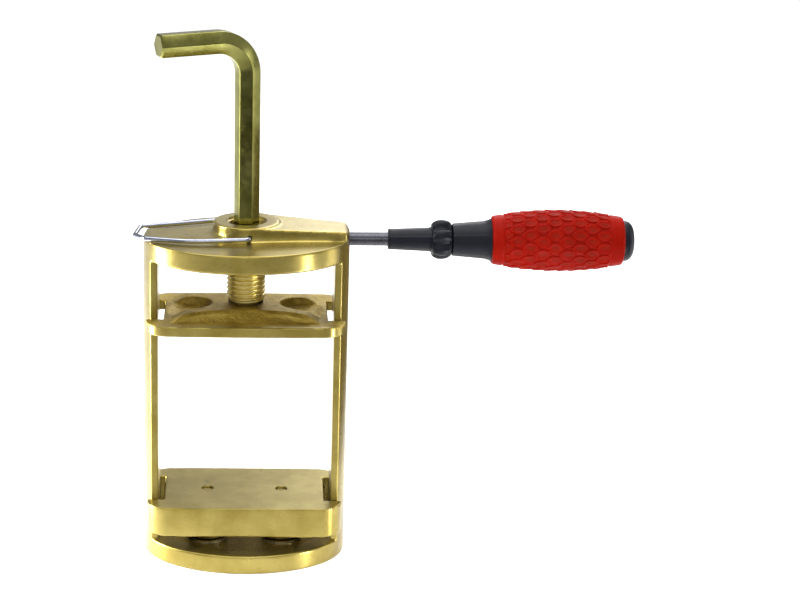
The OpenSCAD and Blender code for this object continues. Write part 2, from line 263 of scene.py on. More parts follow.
# ---- materials ------------------------------------------------------------------------------
def new_material(name):
    material = bpy.data.materials.new(name)
    material.use_nodes = True
    tree = material.node_tree
    return material, tree, tree.nodes["Principled BSDF"]


def noise(tree, scale, detail=4.0, stretch=(1, 1, 1), roughness=0.55):
    """Noise in the object's own metres, so a scale of 1000 has features of about a millimetre."""
    where = tree.nodes.new("ShaderNodeTexCoord")
    spread = tree.nodes.new("ShaderNodeMapping")
    spread.inputs["Scale"].default_value = stretch
    tree.links.new(where.outputs["Object"], spread.inputs["Vector"])
    texture = tree.nodes.new("ShaderNodeTexNoise")
    texture.inputs["Scale"].default_value = scale
    texture.inputs["Detail"].default_value = detail
    texture.inputs["Roughness"].default_value = roughness
    tree.links.new(spread.outputs["Vector"], texture.inputs["Vector"])
    return texture.outputs["Fac"]


def remap(tree, value, low, high, to_low, to_high):
    node = tree.nodes.new("ShaderNodeMapRange")
    for key, number in (("From Min", low), ("From Max", high), ("To Min", to_low), ("To Max", to_high)):
        node.inputs[key].default_value = number
    tree.links.new(value, node.inputs["Value"])
    return node.outputs["Result"]


def combine_values(tree, operation, first, second):
    node = tree.nodes.new("ShaderNodeMath")
    node.operation = operation
    tree.links.new(first, node.inputs[0])
    tree.links.new(second, node.inputs[1])
    return node.outputs[0]


def mix_colours(tree, factor, first, second):
    """Mixes two colours. Each is either four numbers or a socket."""
    node = tree.nodes.new("ShaderNodeMix")
    node.data_type = "RGBA"
    tree.links.new(factor, node.inputs["Factor"])
    for value, key in ((first, 6), (second, 7)):
        if isinstance(value, tuple):
            node.inputs[key].default_value = value
        else:
            tree.links.new(value, node.inputs[key])
    return node.outputs[2]


def bump(tree, shader, layers):
    """Chains bump layers, each (height socket, strength, distance in millimetres), into a shader."""
    normal = None
    for height, strength, distance in layers:
        node = tree.nodes.new("ShaderNodeBump")
        node.inputs["Strength"].default_value = strength
        node.inputs["Distance"].default_value = distance * MM
        tree.links.new(height, node.inputs["Height"])
        if normal is not None:
            tree.links.new(normal, node.inputs["Normal"])
        normal = node.outputs["Normal"]
    tree.links.new(normal, shader.inputs["Normal"])


def pits(tree, scale, size):
    """Small round pits, sparse enough to look like casting flaws."""
    where = tree.nodes.new("ShaderNodeTexCoord")
    cells = tree.nodes.new("ShaderNodeTexVoronoi")
    cells.inputs["Scale"].default_value = scale
    tree.links.new(where.outputs["Object"], cells.inputs["Vector"])
    return remap(tree, cells.outputs["Distance"], size * 0.5, size, 0, 1)


def brass(name, light, dark, rough, grain, pit_size, sheen, brushed=(1, 1, 1), streaks=0.0):
    """Cast brass. rough is (least, most) roughness, grain the depth of its skin in millimetres,
    sheen the weight of the pale sheen over it and streaks how far grinding round the part draws
    its highlights out upward."""
    material, tree, shader = new_material(name)
    shader.inputs["Metallic"].default_value = 0.92
    if streaks:
        round_part = tree.nodes.new("ShaderNodeTangent")
        round_part.direction_type = "RADIAL"
        round_part.axis = "Z"
        tree.links.new(round_part.outputs["Tangent"], shader.inputs["Tangent"])
        surface = tree.nodes.new("ShaderNodeTexCoord")
        facing = tree.nodes.new("ShaderNodeSeparateXYZ")
        tree.links.new(surface.outputs["Normal"], facing.inputs["Vector"])
        upright = combine_values(tree, "MULTIPLY", facing.outputs["Z"], facing.outputs["Z"])
        tree.links.new(remap(tree, upright, 0.15, 0.5, streaks, 0.0), shader.inputs["Anisotropic"])
        shader.inputs["Anisotropic Rotation"].default_value = 0.25
    shader.inputs["Coat Weight"].default_value = sheen
    shader.inputs["Coat Roughness"].default_value = 0.28
    shader.inputs["Coat IOR"].default_value = 1.5
    clouds = remap(tree, noise(tree, 70, 5), 0.35, 0.65, 0, 1)
    colour = mix_colours(tree, clouds, dark, light)
    specks = remap(tree, noise(tree, 900, 3), 0.58, 0.72, 0, 0.35)
    colour = mix_colours(tree, specks, colour, tuple(c * 0.62 for c in dark[:3]) + (1,))
    holes = pits(tree, 150, pit_size)
    # Painted shade: each pit's colour is darkened to about a third of the dark tone.
    colour = mix_colours(tree, holes, tuple(c * 0.35 for c in dark[:3]) + (1,), colour)
    tree.links.new(colour, shader.inputs["Base Color"])
    satin = remap(tree, noise(tree, 260, 4), 0.3, 0.7, rough[0], rough[1])
    tree.links.new(satin, shader.inputs["Roughness"])
    bump(tree, shader, [(noise(tree, 420, 6), 0.55, grain), (noise(tree, 1300, 3, brushed), 0.4, grain * 0.5),
                        (holes, 0.5, 0.15)])
    return material


def plated(name):
    """Yellow-passivated plating, smooth with faint drawing lines."""
    material, tree, shader = new_material(name)
    shader.inputs["Metallic"].default_value = 1.0
    tint = remap(tree, noise(tree, 55, 4), 0.35, 0.65, 0, 1)
    tree.links.new(mix_colours(tree, tint, (0.17, 0.162, 0.035, 1), (0.29, 0.28, 0.085, 1)),
                   shader.inputs["Base Color"])
    tree.links.new(remap(tree, noise(tree, 300, 4), 0.3, 0.7, 0.16, 0.28), shader.inputs["Roughness"])
    bump(tree, shader, [(noise(tree, 500, 4), 0.35, 0.035), (noise(tree, 1600, 2, (1, 1, 0.05)), 0.3, 0.02)])
    return material


def steel(name, colour, rough, turning=(1, 1, 1)):
    """Plain steel with fine machining marks."""
    material, tree, shader = new_material(name)
    shader.inputs["Metallic"].default_value = 1.0
    tint = remap(tree, noise(tree, 180, 4), 0.35, 0.65, 0, 1)
    darker = tuple(c * 0.78 for c in colour[:3]) + (1,)
    tree.links.new(mix_colours(tree, tint, darker, colour), shader.inputs["Base Color"])
    tree.links.new(remap(tree, noise(tree, 700, 3), 0.3, 0.7, rough[0], rough[1]), shader.inputs["Roughness"])
    bump(tree, shader, [(noise(tree, 1500, 2, turning), 0.35, 0.02)])
    return material


def plastic(name, colour, rough, grain, gloss):
    """Moulded plastic or rubber with a fine grain."""
    material, tree, shader = new_material(name)
    shader.inputs["Specular IOR Level"].default_value = gloss
    tint = remap(tree, noise(tree, 90, 4), 0.35, 0.65, 0, 1)
    darker = tuple(c * 0.8 for c in colour[:3]) + (1,)
    tree.links.new(mix_colours(tree, tint, darker, colour), shader.inputs["Base Color"])
    tree.links.new(remap(tree, noise(tree, 500, 4), 0.3, 0.7, rough[0], rough[1]), shader.inputs["Roughness"])
    bump(tree, shader, [(noise(tree, 2600, 3), 0.3, grain)])
    return material


BRASS = brass("ground_brass", (0.36, 0.285, 0.070, 1), (0.27, 0.205, 0.035, 1), (0.27, 0.36),
              0.03, 0.05, 0.35, (1, 1, 0.06), 0.85)
# Rough cast finish; its lighter, more saturated colour is painted light for the shaded places it covers: the
# upper plate's top under the head and the frame's pocket.
CAST_BRASS_PAINTED_LIGHT = brass("rough_cast_brass_painted_light", (0.46, 0.345, 0.080, 1), (0.29, 0.205, 0.030, 1), (0.42, 0.56),
                   1.8, 0.07, 0.15)
SCREW_BRASS = brass("machined_brass", (0.80, 0.68, 0.28, 1), (0.66, 0.55, 0.18, 1), (0.32, 0.42),
                    0.02, 0.03, 0.4)
PLATED = plated("yellow_plating")
STEEL = steel("turned_steel", (0.50, 0.50, 0.50, 1), (0.24, 0.36))
DISC_STEEL = steel("oiled_spring_steel", (0.33, 0.27, 0.10, 1), (0.30, 0.44))
PIN_STEEL = steel("tarnished_pin", (0.30, 0.23, 0.07, 1), (0.36, 0.48))
WIRE_STEEL = steel("bright_wire", (0.40, 0.42, 0.50, 1), (0.10, 0.18))
DARK_STEEL = steel("blackened_steel", (0.085, 0.085, 0.10, 1), (0.22, 0.32), (0.05, 1, 1))
BLACK = plastic("black_plastic", (0.005, 0.0065, 0.012, 1), (0.36, 0.48), 0.04, 0.18)
RED = plastic("red_rubber", (0.33, 0.006, 0.001, 1), (0.40, 0.52), 0.04, 0.05)
RED_WORN = plastic("red_rubber_worn", (0.27, 0.010, 0.003, 1), (0.46, 0.58), 0.05, 0.06)
# Painted shade: the thrust washer is steel coloured dark brown for the shadow under the screw.
WASHER_STEEL_PAINTED_SHADE = steel("washer_painted_shade", (0.20, 0.15, 0.05, 1), (0.34, 0.46))


def finish_piece(obj, material, body, slot, *nodes):
    """Gives a piece its material and its CAD body, and hides the CAD nodes that it stands for. The slot is
    not used.
    """
    obj.data.materials.clear()
    obj.data.materials.append(material)
    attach(obj, body)
    if nodes:
        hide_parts(*nodes)
    return obj


# ---- frame ----------------------------------------------------------------------------------
def touch_angle(r, x, y):
    return math.asin(r / math.hypot(x, y)) - math.atan2(y, x)


def head_arm(side, end_half, top, drop):
    """One arm of the head, from the boss to the rim, as three crossed prisms."""
    reach = HALF_W + 1
    tilt = touch_angle(BOSS_R, reach, end_half)
    tx, ty = BOSS_R * math.sin(tilt), BOSS_R * math.cos(tilt)
    plan = [(0, -ty), (tx, -ty), (reach, -end_half), (reach, end_half), (tx, ty), (0, ty)]
    rounding = 3.5
    crest = arc(HALF_W - rounding, top - drop - rounding, rounding, 90, 0, 8)
    profile = [(0, HEAD_LOW + 1), (HALF_W, HEAD_LOW + 1)] + crest[::-1] + [(0, top)]
    arm = prism("arm", plan, HEAD_LOW + 0.5, BOSS_TOP + 2)
    combine(arm, side_prism("arm_side", profile, -HALF_D, HALF_D), "INTERSECT")
    combine(arm, oval_solid("arm_rim", HALF_W, HALF_D, [(0, HEAD_LOW), (0, BOSS_TOP + 3)]), "INTERSECT")
    if side < 0:
        arm.data.transform(Euler((0, 0, math.pi)).to_matrix().to_4x4())
    return arm


def post_outline(side):
    """A slice of the frame's oval outside the post's inner face."""
    steps = 24
    limit = math.asin(POST_HALF / HALF_D)
    rim = [(HALF_W * math.cos(a), HALF_D * math.sin(a))
           for a in (limit * (2 * i / steps - 1) for i in range(steps + 1))]
    outline = [(POST_IN, -POST_HALF)] + rim + [(POST_IN, POST_HALF)]
    return [(side * x, side * y) for x, y in outline]


def build_frame():
    r = 0.9
    base = oval_solid("frame_casting", HALF_W, HALF_D, [
        (r, 0), (0.3 * r, 0.3 * r), (0, r), (0, BASE_T - r), (0.3 * r, BASE_T - 0.3 * r), (r, BASE_T)])
    for side in (-1, 1):
        combine(base, prism("post", post_outline(side), BASE_T - 3, HEAD_LOW + 3), "UNION")
    rim = 0.5
    dome = [(HALF_D * (1 - share), HEAD_TOP - 0.15 + CROWN * (1 - share) ** 0.8)
            for share in (0.9, 0.75, 0.55, 0.35, 0.15)]
    head = oval_solid("head", HALF_W, HALF_D, [
        (0.8, HEAD_LOW), (0, HEAD_LOW + 0.8), (0, HEAD_TOP - rim), (0.12 * rim, HEAD_TOP - 0.62 * rim),
        (0.45 * rim, HEAD_TOP - 0.2 * rim), (rim, HEAD_TOP)] + dome)
    combine(base, head, "UNION")
    combine(base, turned("boss", [(BOSS_R, HEAD_LOW + 1), (BOSS_R, BOSS_TOP)]), "UNION")
    combine(base, head_arm(1, 10.5, BOSS_TOP, 3.5), "UNION")
    combine(base, head_arm(-1, 10, BOSS_TOP - 6, 1.5), "UNION")
    pocket_floor = SEAT_LOW[2]
    pocket = oval_solid("pocket", POCKET_HALF[0], POCKET_HALF[1], [
        (1.6, pocket_floor), (0.5, pocket_floor + 0.5), (0, pocket_floor + 1.6), (0, BASE_T + 2)])
    combine(base, pocket, "DIFFERENCE")
    soften(base, 0.5, 3)

    def arm_edges(x, y, z):
        """The top edges of the boss and arms are rounded more than the crisp rim."""
        rim_share = math.hypot(x / HALF_W, y / HALF_D)
        return step(HEAD_TOP + 0.5, HEAD_TOP + 1.5, z) * (1 - step(0.97, 0.995, rim_share))

    def arm_foot(x, y, z):
        """Where the boss and arms meet the head plate: their foot gets a wide fillet."""
        if z < HEAD_TOP - 1.2 or z > HEAD_TOP + 5.5:
            return 0
        rim_share = math.hypot(x / HALF_W, y / HALF_D)
        return (1 - step(0.84, 0.93, rim_share)) * (1 - step(3.5, 5.5, z - HEAD_TOP))

    relax_where(base, arm_edges, 14)
    relax_where(base, arm_foot, 130)
    bore = screw_solid("bore", SCREW_R + 0.12, SCREW_R - 1.15, HEAD_LOW - 2.5, BOSS_TOP + 2.5, 0)
    combine(base, bore, "DIFFERENCE")
    mouths = ((BOSS_TOP - 1.5, SCREW_R - 0.9, SCREW_R + 1.6), (HEAD_LOW - 1, SCREW_R + 1.2, SCREW_R - 1))
    for z, r_low, r_high in mouths:
        combine(base, turned("chamfer", [(r_low, z), (r_high, z + 2.4)]), "DIFFERENCE")
    wire_hole = arc(PIVOT[0], PIVOT[1], WIRE_R + 0.3, 0, 352.5, 47)
    pin_bore_r = PIN_HIGH[0] - PIN_X + 0.05
    clip_r, clip_depth = CLIP_RECESS
    for side in (-1, 1):
        pin_place = (side * PIN_X, 0)
        hole = side_prism("bail_hole", wire_hole, 13 * side, 22 * side)
        if side < 0:
            hole.data.flip_normals()
        combine(base, hole, "DIFFERENCE")
        pin_bore = turned("pin_bore", [(pin_bore_r, -1), (pin_bore_r, BASE_T)], centre=pin_place)
        combine(base, pin_bore, "DIFFERENCE")
        recess = turned("clip_recess", [(clip_r, -1), (clip_r, clip_depth)], centre=pin_place)
        combine(base, recess, "DIFFERENCE")
    shank_r = (SHANK_HIGH[2] - SHANK_LOW[2]) / 2
    combine(base, turned_x("shank_bore", [(shank_r + 0.1, SHANK_LOW[0] - 1), (shank_r + 0.1, HALF_W - 0.6),
                                          (shank_r + 1.2, HALF_W + 0.6)]), "DIFFERENCE")
    sharp_shading(base, 40)
    finish_piece(base, BRASS, "frame", "brass", "frame")
    # Painted shade: the pocket's faces take the rough cast brass, whose deeper, less sheeny colour stands in
    # for the brown of the shaded pocket.
    base.data.materials.append(CAST_BRASS_PAINTED_LIGHT)
    for face in base.data.polygons:
        x, y, z = (c / MM for c in face.center)
        in_pocket = math.hypot(x / POCKET_HALF[0], y / POCKET_HALF[1]) < 1.01 and 1 < z < BASE_T - 0.6
        face.material_index = int(in_pocket)
    return base


# ---- plates ---------------------------------------------------------------------------------
def plate_outline(half_w, half_d, bulge):
    """Outline that both plates share: round corners, a notch round each post, a slightly bowed front."""
    quarter = arc(half_w - PLATE_CORNER, half_d - PLATE_CORNER, PLATE_CORNER, 0, 90, 14)
    quarter = [(x, y - bulge * (x / half_w) ** 2) for x, y in quarter]
    notch = [(NOTCH[0], NOTCH[1]), (half_w, NOTCH[1])]
    centre = [(x, half_d - bulge * (x / half_w) ** 2) for x in (30, 20, 10)]
    right = notch + quarter + centre
    top = right + [(0, half_d)] + [(-x, y) for x, y in reversed(right)]
    return top + [(-x, -y) for x, y in top]


def build_lower_plate():
    half_w, half_d = LOWER_HIGH[0], LOWER_HIGH[1]
    plate = prism("lower_platen", plate_outline(half_w, half_d, 0.8), LOWER_LOW[2], LOWER_HIGH[2])
    soften(plate, 0.45, 3)
    hole = [(PIN_HOLE_R, LOWER_LOW[2] - 1), (PIN_HOLE_R, LOWER_HIGH[2] - 0.5), (3.7, LOWER_HIGH[2] + 0.2)]
    for side in (-1, 1):
        combine(plate, turned("pin_hole", hole, centre=(side * PIN_X, 0)), "DIFFERENCE")
    sharp_shading(plate, 40)
    return finish_piece(plate, BRASS, "lower_plate", "brass", "lower_plate")


def hump_height(x, y):
    """Height of the upper plate's cast back above its rim: four ridges that run out to the corners,
    with a scoop in front and behind and a hollow on the left and right between them."""
    plateau = UPPER_HIGH[2] - UPPER_LOW[2] - RIM_T
    x, y = abs(x), abs(y)
    crest = plateau - 1.3 * (x / 31) ** 2
    edge = 15.7 + 1.4 * (x / 30) ** 2 + 1.4 * (x / 30) ** 6
    foot = max(25.4 - 2.6 * (x / 39) ** 2, edge + 2.5)
    bead = 0.9 * math.exp(-((y - edge - 2.0) / 0.9) ** 2) * step(4, 16, x)
    scoop = min(max((y - edge) / (foot - edge), 0), 1)
    outer = (1 - scoop) ** 1.7
    hollow_reach = math.hypot(max(0, 34 - x) / 15.5, y / 12)
    inner = step(0.84, 1.03, hollow_reach)
    end = 1 - step(32, 42.5, x)
    floor_drop = 0.9 * (1 - step(0.6, 0.9, hollow_reach)) * (1 - step(37, 43, x))
    return (crest * outer * inner + bead) * end - floor_drop


def build_upper_plate():
    half_w, half_d = UPPER_HIGH[0], UPPER_HIGH[1]
    rim_z = UPPER_LOW[2] + RIM_T
    plate = prism("upper_platen", plate_outline(half_w, half_d, 1.2), UPPER_LOW[2], rim_z)
    step_mm = 0.5
    xs = np.arange(-half_w + 2, half_w - 1.9, step_mm)
    ys = np.arange(-half_d + 2, half_d - 1.9, step_mm)
    nx, ny = len(xs), len(ys)
    heights = [(x, y, hump_height(x, y)) for y in ys for x in xs]
    top = [(x, y, rim_z - 0.4 + height) for x, y, height in heights]
    cut = [(x, y, rim_z + (height if height < -0.02 else 0.5)) for x, y, height in heights]
    low = [(x, y, UPPER_LOW[2] + 0.8) for y in ys for x in xs]
    faces = []
    for j in range(ny - 1):
        for i in range(nx - 1):
            a = j * nx + i
            faces.append((a, a + 1, a + nx + 1, a + nx))
            faces.append(tuple(reversed([v + nx * ny for v in (a, a + 1, a + nx + 1, a + nx)])))
    border = (list(range(nx)) + [j * nx + nx - 1 for j in range(1, ny)]
              + [(ny - 1) * nx + i for i in range(nx - 2, -1, -1)] + [j * nx for j in range(ny - 2, 0, -1)])
    total = nx * ny
    for k, a in enumerate(border):
        b = border[(k + 1) % len(border)]
        faces.append((b, a, a + total, b + total))
    hump = mesh_object("hump", top + low, faces)
    cap_faces = [tuple(reversed(face)) for face in faces]
    plan = plate_outline(half_w - 0.1, half_d - 0.1, 1.2)
    combine(hump, prism("hump_plan", plan, UPPER_LOW[2], UPPER_HIGH[2] + 5), "INTERSECT")
    above = [(x, y, UPPER_HIGH[2] + 4) for y in ys for x in xs]
    floor_cut = mesh_object("hump_floor", cut + above, cap_faces)
    combine(plate, floor_cut, "DIFFERENCE")
    combine(plate, hump, "UNION")
    soften(plate, 0.42, 3)
    bore_r = SPIGOT_R + 0.1
    keeper_r, keeper_depth = KEEPER_RECESS
    bottom = UPPER_LOW[2]
    combine(plate, turned("spigot_bore", [(bore_r, bottom - 1), (bore_r, UPPER_HIGH[2] + 1)]), "DIFFERENCE")
    recess = turned("keeper_recess", [(keeper_r, bottom - 1), (keeper_r, bottom + keeper_depth)])
    combine(plate, recess, "DIFFERENCE")
    sharp_shading(plate, 40)
    # The cast top takes the rough cast brass, whose lighter colour is painted light for a top that lies in
    # the head's shade; the ground rim faces take the plain brass.
    finish_piece(plate, CAST_BRASS_PAINTED_LIGHT, "upper_plate", "cast_brass", "upper_plate")
    plate.data.materials.append(BRASS)
    for face in plate.data.polygons:
        x, y, z = (c / MM for c in face.center)
        ground = z < rim_z - 1.2 or abs(y) > half_d - 3.2
        face.material_index = int(ground)
    return plate


# ---- screw and key --------------------------------------------------------------------------
def hexagon(af, turn):
    """A hexagon by its width across flats. One corner lies at the angle turn."""
    r = af / math.sqrt(3)
    return [(r * math.cos(turn + TAU * k / 6), r * math.sin(turn + TAU * k / 6)) for k in range(6)]


def build_screw():
    foot = WASHER_HIGH[2] + 0.05
    screw = screw_solid("threaded_screw", SCREW_R, SCREW_R - 1.25, foot, SCREW_HIGH[2], 1.6)
    top = SCREW_HIGH[2]
    combine(screw, turned("spigot", [(SPIGOT_R, SCREW_LOW[2]), (SPIGOT_R, foot + 2)]), "UNION")
    socket = hexagon(KEY_AF + 0.1, KEY_TURN + TAU / 12)
    combine(screw, prism("socket", socket, KEY_LOW[2] - 0.05, top + 2), "DIFFERENCE")
    combine(screw, turned("socket_mouth", [(6.0, top - 1.2), (8.2, top + 1)]), "DIFFERENCE")
    hole_r, hole_depth = KEEPER_HOLE
    keeper_hole = [(hole_r, SCREW_LOW[2] - 1), (hole_r, SCREW_LOW[2] + hole_depth)]
    combine(screw, turned("keeper_hole", keeper_hole), "DIFFERENCE")
    sharp_shading(screw, 45)
    return finish_piece(screw, SCREW_BRASS, "screw", "screw_brass", "pressure_screw")


def rounded_hex(af, corner_r):
    """A hexagon with flats across x, its corners rounded."""
    points = []
    reach = (af / 2 - corner_r) / math.cos(math.pi / 6)
    for k in range(6):
        middle = 30 + 60 * k
        cx, cy = reach * math.cos(math.radians(middle)), reach * math.sin(math.radians(middle))
        points += arc(cx, cy, corner_r, middle - 30, middle + 30, 4)
    return points


def build_key():
    """A hex bar swept up the long arm, round the bend and out along the short arm."""
    bend_z = KEY_HIGH[2] - KEY_AF / 2 - KEY_BEND_R
    short_end = KEY_SHORT_ARM - KEY_AF / 2
    path = [((0, KEY_LOW[2]), 0, 0.86), ((0, KEY_LOW[2] + 0.9), 0, 1.0)]
    path += [((0, KEY_LOW[2] + 0.9 + (bend_z - KEY_LOW[2] - 0.9) * i / 12), 0, 1.0) for i in range(1, 12)]
    for i in range(25):
        a = math.pi / 2 * i / 24
        path.append(((KEY_BEND_R * (1 - math.cos(a)), bend_z + KEY_BEND_R * math.sin(a)), a, 1.0))
    arm_z = bend_z + KEY_BEND_R
    arm_run = short_end - 0.9 - KEY_BEND_R
    path += [((KEY_BEND_R + arm_run * i / 6, arm_z), math.pi / 2, 1.0) for i in range(1, 7)]
    path += [((short_end, arm_z), math.pi / 2, 0.86)]
    section = rounded_hex(KEY_AF, 0.55)
    rings = []
    for (x, z), lean, size in path:
        ring = []
        for u, v in section:
            px = x + size * u * math.cos(lean)
            pz = z - size * u * math.sin(lean)
            ring.append((px * math.cos(KEY_TURN) - size * v * math.sin(KEY_TURN),
                         px * math.sin(KEY_TURN) + size * v * math.cos(KEY_TURN), pz))
        rings.append(ring)
    key = loft("hex_wrench", rings)
    sharp_shading(key, 24)
    return finish_piece(key, PLATED, "key", "plated_key", "hex_key")


# ---- bail -----------------------------------------------------------------------------------
def build_bail():
    """Wire along the bail's corners, each bent on its own radius, in a plane that droops a little."""
    reach = BAIL_REACH
    corners = [(0, 13.7, 0), (0, 25.0, 2.6), (-reach + 3.3, 12.0, 2.4), (-reach + 1, -5.1, 2.2),
               (-reach + 6.5, -12.6, 4.0), (-reach / 2, -21.3, 60), (0, -20.4, 2.2), (0, -13.7, 0)]
    line = []
    for i, (x, y, r) in enumerate(corners):
        here = np.array((x, y))
        if r == 0:
            line.append(here)
            continue
        before, after = np.array(corners[i - 1][:2]), np.array(corners[i + 1][:2])
        into = (here - before) / np.linalg.norm(here - before)
        out = (after - here) / np.linalg.norm(after - here)
        turn = math.acos(float(np.clip(into @ out, -1, 1)))
        inward = (out - into) / np.linalg.norm(out - into)
        centre = here + inward * r / math.cos(turn / 2)
        start = here - into * r * math.tan(turn / 2) - centre
        for k in range(11):
            a = turn * k / 10
            line.append(centre + np.array((start[0] * math.cos(a) - start[1] * math.sin(a),
                                           start[0] * math.sin(a) + start[1] * math.cos(a))))
    rings = []
    for i, here in enumerate(line):
        run = line[min(i + 1, len(line) - 1)] - line[max(i - 1, 0)]
        run = run / np.linalg.norm(run)
        side = np.array((run[1], -run[0]))
        flat = [(*(here + side * WIRE_R * math.cos(TAU * k / 24)), WIRE_R * math.sin(TAU * k / 24))
                for k in range(24)]
        rings.append([(PIVOT[0] + x * math.cos(BAIL_DROOP), y, PIVOT[1] + x * math.sin(BAIL_DROOP) + z)
                      for x, y, z in flat])
    bail = loft("wire_bail", rings)
    sharp_shading(bail, 50)
    return finish_piece(bail, WIRE_STEEL, "bail", "wire", "carry_bail")


# ---- handle ---------------------------------------------------------------------------------
GRIP_START, GRIP_END = GRIP_LOW[0], GRIP_HIGH[0]
GRIP_MOST = (GRIP_HIGH[1] - GRIP_LOW[1]) / 2
GRIP_ENDS = 12.95
SCALE_ROWS = 28
SCALE_STEP = 6.65
SCALE_HALF = (4.6, 0.74)
GRIP_BORE_R = 9.1
GUARD_MID = HALF_W + 49.5
GUARD_HALF = 5.6
GUARD_ROOT_R = 8.9


def grip_radius(x):
    share = min(max((x - GRIP_START) / (GRIP_END - GRIP_START), 0), 1)
    return GRIP_ENDS + (GRIP_MOST - GRIP_ENDS) * max(math.sin(math.pi * share), 0) ** 0.9


def scale_relief(x, angle):
    """Height of the pattern of oval scales, whose rims stand up on the side towards the head, and
    whether the place is in the duller middle of a scale."""
    band_in = step(GRIP_START + 6.2, GRIP_START + 7.6, x) * (1 - step(GRIP_END - 8.6, GRIP_END - 7.2, x))
    row_pitch = TAU / SCALE_ROWS
    nearest, side = 9.0, 0.0
    row_at = angle / row_pitch
    for row in range(math.floor(row_at) - 1, math.ceil(row_at) + 2):
        offset = SCALE_STEP * (row % 2)
        column = round((x - GRIP_START - offset) / (2 * SCALE_STEP))
        dx = (x - GRIP_START - offset - column * 2 * SCALE_STEP) / SCALE_HALF[0]
        reach = math.hypot(dx, (row_at - row) / SCALE_HALF[1])
        if reach < nearest:
            nearest, side = reach, dx / max(reach, 0.01)
    lean = 0.5 - 0.5 * side
    rim = step(0.50, 0.78, nearest) * (1 - step(0.86, 1.02, nearest))
    groove = step(0.92, 1.06, nearest)
    height = 0.55 * rim * (0.3 + 0.7 * lean) + 0.14 * lean - 0.46 * groove
    return (height - 0.12) * band_in, nearest < 0.55 and band_in > 0.9


def build_grip():
    """The rubber sleeve: a dense skin with raised scales, and its bore."""
    around = 336
    columns = 240
    edge = 1.6
    outer, worn_places = [], []
    for i in range(columns + 1):
        x = GRIP_START + (GRIP_END - GRIP_START) * i / columns
        inset = max(0.0, 1 - min(x - GRIP_START, GRIP_END - x) / edge)
        rounding = edge * (1 - math.sqrt(max(0.0, 1 - inset ** 2)))
        bands = 0.45 * (1 - step(0.35, 0.8, min(abs(x - GRIP_START - 6.4), abs(x - GRIP_END + 7.6))))
        reliefs = [scale_relief(x, TAU * k / around) for k in range(around)]
        outer.append([grip_radius(x) - 0.05 - rounding - bands + height for height, worn in reliefs])
        worn_places.append([worn for height, worn in reliefs])
    inner_r = (CAP_HIGH[1] - CAP_LOW[1]) / 2 + 0.08
    bore, socket = [GRIP_BORE_R] * around, [inner_r] * around
    rows = [(bore, GRIP_START + 0.01)]
    rows += [(radii, GRIP_START + (GRIP_END - GRIP_START) * i / columns) for i, radii in enumerate(outer)]
    rows += [(socket, GRIP_END), (socket, CAP_LOW[0] - 0.05), (bore, CAP_LOW[0] - 0.05)]
    rings = [along_x([(r[k] * math.cos(TAU * k / around), r[k] * math.sin(TAU * k / around), x)
                      for k in range(around)]) for r, x in rows]
    grip = loft("grip", rings, closed=True)
    sharp_shading(grip, 60)
    finish_piece(grip, RED, "handle", "red_rubber", "grip_sleeve")
    grip.data.materials.append(RED_WORN)
    for i, worn_row in enumerate(worn_places[:-1], 1):
        for k in range(around):
            grip.data.polygons[i * around + k].material_index = int(worn_row[k])
    return grip


def core_shape(r, angle, x):
    """Soft flats along the neck and the throat, and six lobes on the guard."""
    if abs(x - GUARD_MID) < GUARD_HALF - 0.09 and r > GUARD_ROOT_R:
        lobes = 0.5 + 0.5 * math.cos(6 * (angle - math.pi))
        return r - 2.5 * (1 - lobes) ** 1.6 * step(GUARD_ROOT_R, 10.2, r)
    ridge = max(0.0, math.cos(4 * (angle - math.pi / 4 - 0.35))) ** 12
    return r + 0.28 * ridge * (1 if x < GRIP_START - 1.5 else 0)


def build_core():
    start = CORE_LOW[0]
    profile = [(3.75, start), (5.0, start), (5.35, start + 0.35), (5.45, start + 1.6), (5.40, start + 2.4)]
    profile += [(5.40 + 0.85 * i / 6, start + 2.4 + 19.5 * i / 6) for i in range(1, 7)]
    for i in range(13):
        a = math.pi * i / 12
        profile.append((6.6 + 4.3 * math.sin(a) ** 0.75, GUARD_MID - GUARD_HALF * math.cos(a)))
    throat_start, throat_end = GUARD_MID + GUARD_HALF + 0.4, GRIP_START - 3.6
    profile += [(8.6 + 1.5 * i / 6, throat_start + (throat_end - throat_start) * i / 6) for i in range(7)]
    profile += [(10.5, GRIP_START - 2.4), (11.0, GRIP_START - 1.2), (11.55, GRIP_START - 0.15),
                (9.0, GRIP_START - 0.15), (9.0, CORE_HIGH[0]), (3.75, CORE_HIGH[0])]
    core = turned_x("core", profile, 144, core_shape)
    hole_r = (SHANK_HIGH[2] - SHANK_LOW[2]) / 2 + 0.03
    combine(core, turned_x("shank_hole", [(hole_r, start - 1), (hole_r, SHANK_HIGH[0] + 0.1)]), "DIFFERENCE")
    sharp_shading(core, 42)
    return finish_piece(core, BLACK, "handle", "black_plastic", "handle_core")


def build_cap():
    r = (CAP_HIGH[1] - CAP_LOW[1]) / 2
    dome_start = GRIP_END + 0.9
    dome = CAP_HIGH[0] - dome_start
    profile = [(r - 0.3, CAP_LOW[0]), (r, CAP_LOW[0] + 0.3), (r, dome_start)]
    profile += [(r * math.cos(a) ** 0.55, dome_start + dome * math.sin(a))
                for a in (math.radians(degrees) for degrees in range(10, 90, 8))]
    profile += [(0.4, CAP_HIGH[0])]
    cap = turned_x("end_cap", profile, 96)
    sharp_shading(cap, 45)
    return finish_piece(cap, BLACK, "handle", "black_plastic", "handle_end_cap")


